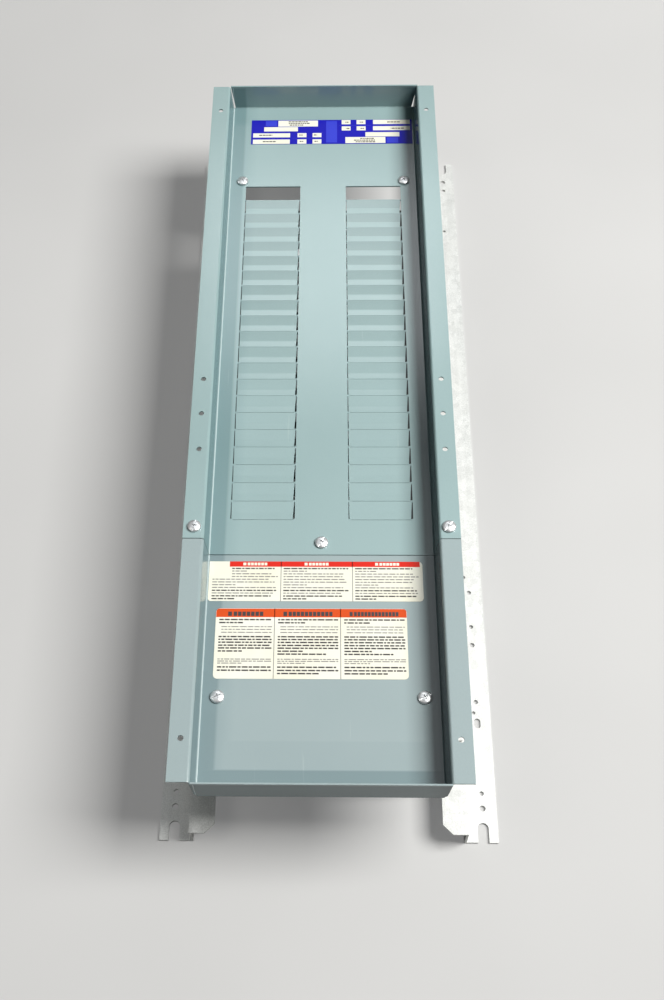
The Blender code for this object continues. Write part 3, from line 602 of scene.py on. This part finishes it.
def make_pan(name, node, body, y_open, y_wall, with_columns, floor_holes, flange_holes):
    """A painted pan with its holes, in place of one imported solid."""
    outwards = 1.0 if y_wall > y_open else -1.0
    bm = pan_surface(y_open, y_wall, with_columns)
    extend_sides(bm, y_wall - outwards * BEND_IN, y_wall)
    bmesh.ops.remove_doubles(bm, verts=bm.verts, dist=SAME_POINT)
    bmesh.ops.recalc_face_normals(bm, faces=bm.faces)
    floor = max(bm.faces, key=lambda f: f.calc_area())
    if floor.normal.z < 0:
        bmesh.ops.reverse_faces(bm, faces=bm.faces)
    piece = link(name, to_mesh(bm, name))
    shell = piece.modifiers.new("Sheet", "SOLIDIFY")
    shell.thickness = SHEET
    shell.offset = -1.0
    shell.use_even_offset = True
    settle(piece)
    cut(piece, cylinders(name + "_floor_holes", floor_holes, FLOOR_Z - 0.006, FLOOR_Z + 0.006))
    cut(piece, cylinders(name + "_flange_holes", flange_holes, FLANGE_Z - 0.005, FLANGE_Z + 0.004))
    soften(piece, 0.00022)
    settle(piece)
    shade(piece, 28)
    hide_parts(node)
    paints = (PAINT, STEP_SHADE_PAINT) if with_columns else (COVER_PAINT,)
    return dress(piece, body, "deadfront_paint", *paints)


def screw_spot(node):
    lo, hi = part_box(node)
    return (lo.x + hi.x) / 2, (lo.y + hi.y) / 2, hi.z


UPPER_FLOOR_SCREWS = ("deadfront_screw_far_left", "deadfront_screw_far_right",
                      "deadfront_screw_center")
FLANGE_SCREWS = ("deadfront_screw_flange_left", "deadfront_screw_flange_right")
LOWER_SCREWS = ("cover_screw_left", "cover_screw_right")


def holes_under(nodes):
    return [screw_spot(node)[:2] + (CLEARANCE_R,) for node in nodes]


def flange_holes(rows):
    return [(COVER_X + side * HOLE_X, y, HOLE_R) for y in rows for side in (-1.0, 1.0)]


def make_covers():
    make_pan("deadfront_sheet", "upper_deadfront", "deadfront", UPPER_SEAM, FAR_WALL, True,
             holes_under(UPPER_FLOOR_SCREWS),
             flange_holes(UPPER_HOLES_Y) + holes_under(FLANGE_SCREWS))
    make_pan("lower_cover_sheet", "lower_cover", "gutter_cover", LOWER_SEAM, NEAR_WALL, False,
             holes_under(LOWER_SCREWS), flange_holes(LOWER_HOLES_Y))


# ---------------------------------------------------------------- labels
# gap under a film, its thickness, a printed layer's thickness and how far it sinks in
FILM_LIFT = 0.00006
FILM_T = 0.00022
INK_T = 0.00004
INK_SINK = 0.00001
INK_TOP = FILM_T + INK_T
SECOND_INK_TOP = INK_TOP + INK_T
RULE_HALF = 0.0003
WORD_GAP = 0.0008
FILMS = (WHITE_FILM, ORANGE_FILM, RED_FILM, BLUE_FILM, LIGHT_BLUE_FILM, INK, GREY_INK)
WHITE, ORANGE, RED, BLUE, LIGHT_BLUE, DARK, GREY = range(7)


class Sheet:
    """A film stuck to the pan. Its points are given by distances from its left and far edges."""

    def __init__(self, name, x_left, y_far):
        self.name = name
        self.x_left = x_left
        self.y_far = y_far
        self.bm = bmesh.new()

    def place(self, across, down, lift):
        """Point on the film, lifted off its underside."""
        return Vector((self.x_left + across, self.y_far - down, FLOOR_Z + FILM_LIFT + lift))

    def block(self, a0, a1, d0, d1, ink, low=FILM_T - INK_SINK, high=INK_TOP):
        """A printed patch: a top face and its thin rim."""
        corners = [(a0, d1), (a1, d1), (a1, d0), (a0, d0)]
        top = [self.bm.verts.new(self.place(a, d, high)) for a, d in corners]
        base = [self.bm.verts.new(self.place(a, d, low)) for a, d in corners]
        self.wrap([self.bm.faces.new(top)], top, base, ink)

    def wrap(self, faces, top, base, ink):
        """Joins two outlines by a rim and colours it with the given faces."""
        for i in range(len(top)):
            j = (i + 1) % len(top)
            faces.append(self.bm.faces.new((base[i], base[j], top[j], top[i])))
        for face in faces:
            face.material_index = ink

    def film(self, outline, ink):
        """The film itself: an outline of (across, down) points, thickened."""
        top = [self.bm.verts.new(self.place(a, d, FILM_T)) for a, d in outline]
        base = [self.bm.verts.new(self.place(a, d, 0.0)) for a, d in outline]
        self.wrap([self.bm.faces.new(top), self.bm.faces.new(base[::-1])], top, base, ink)

    def rule(self, across, tall):
        """A thin grey line between two columns."""
        self.block(across - RULE_HALF, across + RULE_HALF, 0.0, tall, GREY)

    def words(self, a0, a1, down, tall, ink, source, fill=1.0):
        """A line of print as blocks of varied length."""
        place = a0
        end = a0 + (a1 - a0) * fill
        while place < end - 0.0012:
            size = min(source.uniform(0.0016, 0.0062), end - place)
            self.block(place, place + size, down, down + tall, ink)
            place += size + WORD_GAP

    def heading(self, a0, a1, down, count, wide, tall, ink):
        """A heading as a row of even blocks with a marker in front."""
        total = (count + 1) * wide + count * 0.25 * wide + 0.5 * wide
        start = (a0 + a1) / 2 - total / 2
        low, high = INK_TOP - INK_SINK, SECOND_INK_TOP
        self.block(start, start + wide * 1.1, down, down + tall, ink, low, high)
        start += wide * 1.6
        for i in range(count):
            left = start + i * wide * 1.25
            self.block(left, left + wide, down, down + tall, ink, low, high)

    def finish(self, node, body, slot):
        mesh = to_mesh(self.bm, self.name)
        piece = link(self.name, mesh)
        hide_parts(node)
        return dress(piece, body, slot, *FILMS)


def rounded_outline(wide, tall, radius):
    points = []
    for cx, cy, start in ((wide - radius, radius, -90), (wide - radius, tall - radius, 0),
                          (radius, tall - radius, 90), (radius, radius, 180)):
        points += arc((cx, cy), radius, start, start + 90, 6)
    return points[::-1]


def make_rating_label():
    """White film with an orange heading band and three columns of print."""
    lo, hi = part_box("rating_label")
    wide, tall = hi.x - lo.x, hi.y - lo.y
    sheet = Sheet("rating_film", lo.x, hi.y)
    outline = rounded_outline(wide, tall, 0.0035)
    sheet.film(outline, WHITE)
    band, margin = 0.0081, 0.0002
    inset = [(min(max(a, margin), wide - margin), max(d, margin)) for a, d in outline if d < 0.0036]
    inset = [(margin, band)] + sorted(inset, key=lambda q: q[0]) + [(wide - margin, band)]
    top = [sheet.bm.verts.new(sheet.place(a, d, INK_TOP)) for a, d in inset]
    face = sheet.bm.faces.new(top[::-1])
    face.material_index = ORANGE
    source = random.Random(11)
    edges = (0.0, wide * 0.3085, wide * 0.6535, wide)
    headings = ((7, 0.0029), (11, 0.0027), (13, 0.0023))
    lines = (0.0097, 0.0125, 0.0164, 0.0189, 0.0216, 0.0253, 0.0278, 0.0304, 0.0331, 0.0356,
             0.0383, 0.0457, 0.0475, 0.0493, 0.0525, 0.0554)
    for column, (count, size) in enumerate(headings):
        a0, a1 = edges[column] + 0.0030, edges[column + 1] - 0.0020
        if column:
            sheet.rule(edges[column], tall)
        sheet.heading(a0, a1, 0.0030, count, size, 0.0040, DARK)
        for i, down in enumerate(lines):
            bold = i < 2 or 5 <= i <= 10 or i >= 14
            short = i in (1, 10, 13)
            indent = 0.0020 if 2 <= i <= 4 else 0.0
            size, ink = (0.0013, DARK) if bold else (0.0009, GREY)
            sheet.words(a0 + indent, a1, down, size, ink, source, 0.45 if short else 1.0)
        if column:
            sheet.words(a0, a1, 0.0409, 0.0013, DARK, source, 0.8)
            sheet.words(a0, a1, 0.0581, 0.0013, DARK, source, 0.7)
    sheet.finish("rating_label", "gutter_cover", "label_film")


def make_circuit_label():
    """White film with a red heading band that stops short of a blank square at its left end."""
    lo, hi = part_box("circuit_label")
    wide, tall = hi.x - lo.x, hi.y - lo.y
    sheet = Sheet("circuit_film", lo.x, hi.y)
    notch, corner, chord = 0.0016, 0.0030, 0.0009
    sheet.film([(0.0, tall - notch), (notch, tall), (wide - corner, tall),
                (wide - chord, tall - chord), (wide, tall - corner), (wide, corner),
                (wide - chord, chord), (wide - corner, 0.0), (0.0, 0.0)], WHITE)
    edges = (0.0172, 0.0610, 0.1215, wide)
    sheet.block(edges[0], wide - 0.0022, 0.0, 0.0051, RED)
    source = random.Random(7)
    for column in range(3):
        a0, a1 = edges[column] + 0.0022, edges[column + 1] - 0.0018
        if column:
            sheet.rule(edges[column], tall)
        sheet.heading(edges[column], edges[column + 1], 0.0012, 6, 0.0023, 0.0026, WHITE)
        for i in range(12):
            start = 0.0030 if column == 0 and i >= 4 else a0
            down = 0.0062 + i * 0.00262
            bold = i in (0, 8, 10, 11)
            fill = 0.35 if i % 5 == 1 else source.uniform(0.86, 1.0)
            size, ink = (0.0012, DARK) if bold else (0.0010, GREY)
            sheet.words(start, a1, down, size, ink, source, fill)
    sheet.finish("circuit_label", "gutter_cover", "label_film")


def make_nameplate():
    """Blue foil with white entry fields; its second half repeats the first turned half round."""
    lo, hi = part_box("nameplate_label")
    wide, tall = hi.x - lo.x, hi.y - lo.y
    sheet = Sheet("nameplate_film", lo.x, hi.y)
    sheet.film([(0.0, 0.0), (0.0, tall), (wide, tall), (wide, 0.0)], BLUE)
    fields = ((0.0285, 0.0708, 0.0009, 0.0099, 3), (0.0135, 0.0495, 0.0107, 0.0171, 0),
              (0.0020, 0.0413, 0.0200, 0.0262, 1), (0.0020, 0.0411, 0.0294, 0.0360, 1),
              (0.0492, 0.0587, 0.0200, 0.0262, 1), (0.0652, 0.0746, 0.0200, 0.0262, 1),
              (0.0492, 0.0587, 0.0294, 0.0360, 1), (0.0652, 0.0746, 0.0294, 0.0360, 1))
    source = random.Random(5)

    def both(a0, a1, d0, d1, ink, low=FILM_T - INK_SINK, high=INK_TOP):
        sheet.block(a0, a1, d0, d1, ink, low, high)
        sheet.block(wide - a1, wide - a0, tall - d1, tall - d0, ink, low, high)

    both(0.0150, 0.0270, 0.0012, 0.0092, LIGHT_BLUE)
    both(wide / 2 - 0.0058, wide / 2, 0.0020, tall - 0.0020, LIGHT_BLUE)
    both(0.0435, 0.0770, 0.0273, 0.0277, LIGHT_BLUE)
    for a0, a1, d0, d1, entries in fields:
        both(a0, a1, d0, min(d1, tall - 0.0004), WHITE)
        for entry in range(entries):
            span = a1 - a0
            start = a0 + span * source.uniform(0.12, 0.34)
            end = min(start + span * source.uniform(0.3, 0.55), a1 - 0.001)
            down = (d0 + d1) / 2 - 0.0009 + (entry - (entries - 1) / 2) * 0.0025
            place = start
            while place < end:
                size = source.uniform(0.0012, 0.0032)
                both(place, min(place + size, end), down, down + 0.0014, DARK,
                     INK_TOP - INK_SINK, SECOND_INK_TOP)
                place += size + 0.0006
    sheet.finish("nameplate_label", "deadfront", "nameplate_film")


# ---------------------------------------------------------------- screws
def turned_solid(name, profile, steps):
    """Profile of (radius, z) points turned about Z, from the top down the outer side."""
    bm = bmesh.new()
    ring = [bm.verts.new((radius, 0.0, z)) for radius, z in profile]
    for a, b in zip(ring, ring[1:]):
        bm.edges.new((a, b))
    piece = link(name, to_mesh(bm, name))
    screw = piece.modifiers.new("Turn", "SCREW")
    screw.angle = 2 * math.pi
    screw.steps = steps
    screw.render_steps = steps
    screw.use_merge_vertices = True
    screw.merge_threshold = SAME_POINT
    return settle(piece)


def recess_tool(name, arm, width, z_low, z_top, taper):
    """Two crossed tapered blades that meet in one solid."""
    bm = bmesh.new()
    for angle in (0.0, math.pi / 2):
        verts = bmesh.ops.create_cube(bm, size=1.0)["verts"]
        for v in verts:
            long, thick, z = (1.0, 1.0, z_top) if v.co.z > 0 else (taper, 0.7, z_low)
            v.co = (v.co.x * 2 * arm * long, v.co.y * width * thick, z)
        bmesh.ops.rotate(bm, verts=verts, cent=(0, 0, 0), matrix=Matrix.Rotation(angle, 3, "Z"))
        if angle == 0.0:
            first = to_mesh(bm, name)
            bm = bmesh.new()
    second = link(name + "_b", to_mesh(bm, name + "_b"))
    tool = link(name, first)
    cut(tool, second, "UNION")
    return tool


def slot_tool(name, length, width, z_low, z_top):
    bm = bmesh.new()
    place = Matrix.Translation((0, 0, (z_low + z_top) / 2))
    size = Matrix.Diagonal((length, width, z_top - z_low, 1.0))
    bmesh.ops.create_cube(bm, size=1.0, matrix=place @ size)
    return link(name, to_mesh(bm, name))


def screw_finish(piece):
    """Softens a screw, plates it and hands back its mesh for many uses."""
    soften(piece, 0.00012, 40)
    settle(piece)
    shade(piece, 35)
    mesh = piece.data
    mesh.materials.append(ZINC)
    bpy.data.objects.remove(piece, do_unlink=True)
    return mesh


def screw_mesh(name, head_r, head_h, rim, shank_r, length):
    """Round-head screw with a combined cross and slot recess and a threaded shank."""
    crown = []
    for i in range(9):
        a = math.radians(90 * i / 8)
        crown.append((head_r * math.sin(a), rim + (head_h - rim) * math.cos(a)))
    profile = crown + [(head_r, 0.0002), (head_r - 0.0002, 0.0), (shank_r, 0.0)]
    turns = int(length / 0.0008)
    for i in range(turns):
        z = -(i + 0.5) * length / turns
        profile += [(shank_r, z + 0.00018), (shank_r - 0.00035, z), (shank_r, z - 0.00018)]
    profile += [(shank_r * 0.8, -length), (0.0, -length)]
    piece = turned_solid(name, profile, 36)
    above = head_h + 0.002
    cut(piece, recess_tool(name + "_cross", head_r * 0.52, head_r * 0.20, rim * 0.55, above, 0.35))
    slot_floor = head_h - (head_h - rim) * 0.80
    cut(piece, slot_tool(name + "_slot", head_r * 2.6, head_r * 0.15, slot_floor, above))
    return screw_finish(piece)


def place_screw(name, mesh, body, spot, turn, *nodes):
    piece = link(name, mesh)
    piece.location = spot
    piece.rotation_euler = (0.0, 0.0, math.radians(turn))
    if nodes:
        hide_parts(*nodes)
    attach(piece, body)
    return piece


def make_cover_screws():
    """The seven turning screws that hold the covers, each left at its own angle."""
    lo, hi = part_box("deadfront_screw_center")
    mesh = screw_mesh("cover_screw", (hi.x - lo.x) / 2, SCREW_HEAD_H, 0.0012, 0.0021, 0.0110)
    turns = {"deadfront_screw_far_left": 35, "deadfront_screw_far_right": 40,
             "deadfront_screw_center": 60, "deadfront_screw_flange_left": 75,
             "deadfront_screw_flange_right": 50, "cover_screw_left": 20, "cover_screw_right": 28}
    for node, turn in turns.items():
        x, y, top = screw_spot(node)
        spot = (x, y, top - SCREW_HEAD_H)
        place_screw(node.replace("screw", "fastener"), mesh, node, spot, turn, node)


def pan_head_mesh(name, head_r, head_h):
    """Low pan head with a cross recess, on a flat washer."""
    profile = [(0.0, head_h), (head_r * 0.55, head_h * 0.94), (head_r * 0.85, head_h * 0.74),
               (head_r, head_h * 0.42), (head_r, 0.0006), (head_r * 1.22, 0.0006),
               (head_r * 1.24, 0.0), (head_r * 0.4, 0.0), (0.0, 0.0)]
    piece = turned_solid(name, profile, 28)
    cut(piece, recess_tool(name + "_cross", head_r * 0.55, head_r * 0.20, head_h * 0.35,
                           head_h + 0.002, 0.35))
    return screw_finish(piece)


def place_row(stem, mesh, spots, source):
    """Numbered fixed screws on the chassis, each at a chance angle."""
    for i, spot in enumerate(spots):
        name = "%s_%02d" % (stem, i + 1)
        place_screw(name, mesh, "chassis", spot, source.uniform(0, 90))


def make_inner_screws():
    """Base, bus and neutral binding screws on the chassis."""
    rail_lo, rail_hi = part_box("breaker_rail_left")
    source = random.Random(3)
    spots = []
    for y in BASE_SCREW_ROWS:
        under_rail = rail_lo.y < y < rail_hi.y
        z = rail_lo.z + 0.0015 if under_rail else BASE_TOP
        spots += [(COVER_X + side * BASE_SCREW_X, y, z) for side in (-1.0, 1.0)]
    place_row("base_screw", pan_head_mesh("base_screw", 0.0036, 0.0024), spots, source)
    spots = [(COVER_X + k * BUS_SCREW_STEP, y, BAR_TOP) for y in BUS_SCREW_ROWS for k in (-1, 0, 1)]
    spots += [(COVER_X + k * LUG_SCREW_STEP, LUG_SCREW_ROW, BAR_TOP) for k in (-1, 0, 1)]
    place_row("bus_screw", pan_head_mesh("bus_screw", 0.0036, 0.0026), spots, source)
    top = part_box("neutral_bar")[1].z
    x, start = BINDING_START
    spots = [(x, start + i * BINDING_STEP, top) for i in range(BINDING_SCREWS)]
    place_row("binding_screw", pan_head_mesh("binding_screw", 0.0034, 0.0028), spots, source)


# ---------------------------------------------------------------- carried-over solids
def dress_nodes():
    """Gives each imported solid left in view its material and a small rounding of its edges."""
    looks = (("rail_", GALVANISED, 0.00025), ("cross_member_", GALVANISED, 0.00025),
             ("far_bracket", GALVANISED, 0.00025), ("near_bracket", GALVANISED, 0.00025),
             ("flange_standoff", GALVANISED, 0.00025), ("seam_bracket", GALVANISED, 0.00025),
             ("breaker_rail", MOULDING, 0.00020), ("bus_bar", TIN, 0.00025),
             ("main_lug", ALUMINIUM, 0.00020), ("neutral_bar", ALUMINIUM, 0.00030),
             ("bus_base", MOULDING, 0.00030), ("neutral_insulator", MOULDING, 0.00030),
             ("lug_screw", ZINC, 0.00020), ("cross_member_bolt", ZINC, 0.00015),
             ("bracket_screw", ZINC, 0.00015))
    for node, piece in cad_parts.items():
        matches = [look for look in looks if node.startswith(look[0])]
        if matches:
            _, material, width = matches[-1]
            piece.data.materials.clear()
            piece.data.materials.append(material)
            soften(piece, width, 35)


# ---------------------------------------------------------------- camera, light and floor
def make_camera():
    """Looks down on the near end from in front, the lens shifted a little sideways."""
    data = bpy.data.cameras.new("camera")
    data.sensor_width = 36.0
    data.lens = 46.2
    data.shift_x = 0.0366
    data.clip_start = 0.01
    data.clip_end = 50.0
    camera = bpy.data.objects.new("camera", data)
    bpy.context.scene.collection.objects.link(camera)
    camera.location = (-0.0004, -0.7056, 1.0530)
    turn = Vector((0.55117, 0.02468, 0.00823))
    camera.rotation_mode = "QUATERNION"
    camera.rotation_quaternion = Matrix.Rotation(turn.length, 3, turn.normalized()).to_quaternion()
    bpy.context.scene.camera = camera


def area_light(name, place, aim, size, power, colour, diffuse=True):
    """A soft rectangular light; without diffuse it only shows in gloss, like a reflector card."""
    data = bpy.data.lights.new(name, "AREA")
    data.shape = "RECTANGLE"
    data.size, data.size_y = size
    data.energy = power
    data.color = colour
    light = bpy.data.objects.new(name, data)
    light.location = place
    light.rotation_mode = "QUATERNION"
    light.rotation_quaternion = (Vector(aim) - Vector(place)).to_track_quat("-Z", "Y")
    light.visible_camera = False
    light.visible_diffuse = diffuse
    bpy.context.scene.collection.objects.link(light)


def make_world():
    """Dim, cool surroundings, greyer in gloss, behind a pale backdrop."""
    world = bpy.data.worlds.new("studio")
    world.use_nodes = True
    tree = world.node_tree
    back = tree.nodes["Background"]
    path = tree.nodes.new("ShaderNodeLightPath")
    tones = (("Is Glossy Ray", (0.18, 0.185, 0.19, 1.0)),
             ("Is Camera Ray", (0.88, 0.89, 0.90, 1.0)))
    mixes = []
    for ray, tone in tones:
        mix = tree.nodes.new("ShaderNodeMix")
        mix.data_type = "RGBA"
        mix.inputs["B"].default_value = tone
        tree.links.new(path.outputs[ray], mix.inputs["Factor"])
        mixes.append(mix)
    mixes[0].inputs["A"].default_value = (0.008, 0.009, 0.011, 1.0)
    tree.links.new(mixes[0].outputs["Result"], mixes[1].inputs["A"])
    tree.links.new(mixes[1].outputs["Result"], back.inputs["Color"])
    back.inputs["Strength"].default_value = 1.0
    bpy.context.scene.world = world


def make_floor():
    """A plain pale floor, glowing a little so that it reads as paper."""
    bm = bmesh.new()
    bmesh.ops.create_grid(bm, x_segments=1, y_segments=1, size=12.0)
    floor = link("floor", to_mesh(bm, "floor"))
    floor.location.z = -0.0003
    n = Nodes("floor")
    tone = n.ramp(n.noise(3.0, 2.0), (0.3, (0.37, 0.37, 0.365)), (0.7, (0.40, 0.40, 0.395)))
    path = n.add("ShaderNodeLightPath")
    glow = n.span(path.outputs["Is Camera Ray"], 0.0, 0.16)
    paper = n.set(Base_Color=tone, Roughness=0.9, Emission_Color=(1.0, 1.0, 1.0),
                  Emission_Strength=glow)
    floor.data.materials.append(paper)


def make_studio():
    make_world()
    make_floor()
    area_light("key", (2.08, -0.03, 3.04), (0.0, 0.0, 0.09), (1.52, 1.92), 230.0,
               (1.0, 0.99, 0.97))
    area_light("side_fill", (-1.3, -0.5, 1.9), (-0.1, -0.1, 0.05), (1.0, 1.0), 6.0,
               (1.0, 0.97, 0.92))
    area_light("front_fill", (0.9, -2.4, 1.3), (0.0, 0.3, 0.10), (0.9, 0.6), 0.5,
               (0.50, 0.75, 1.0))
    area_light("sheen", (0.0, 1.87, 2.04), (0.0, 0.15, 0.09), (0.80, 0.60), 7.0,
               (0.94, 0.97, 1.0), False)
    area_light("top", (-0.15, 0.65, 2.30), (0.0, -0.3, 0.09), (1.60, 1.10), 7.0,
               (0.94, 0.97, 1.0), False)
    scene = bpy.context.scene
    scene.view_settings.view_transform = "Standard"
    scene.view_settings.look = "None"


make_camera()
make_covers()
make_nameplate()
make_circuit_label()
make_rating_label()
make_cover_screws()
make_inner_screws()
dress_nodes()
make_studio()
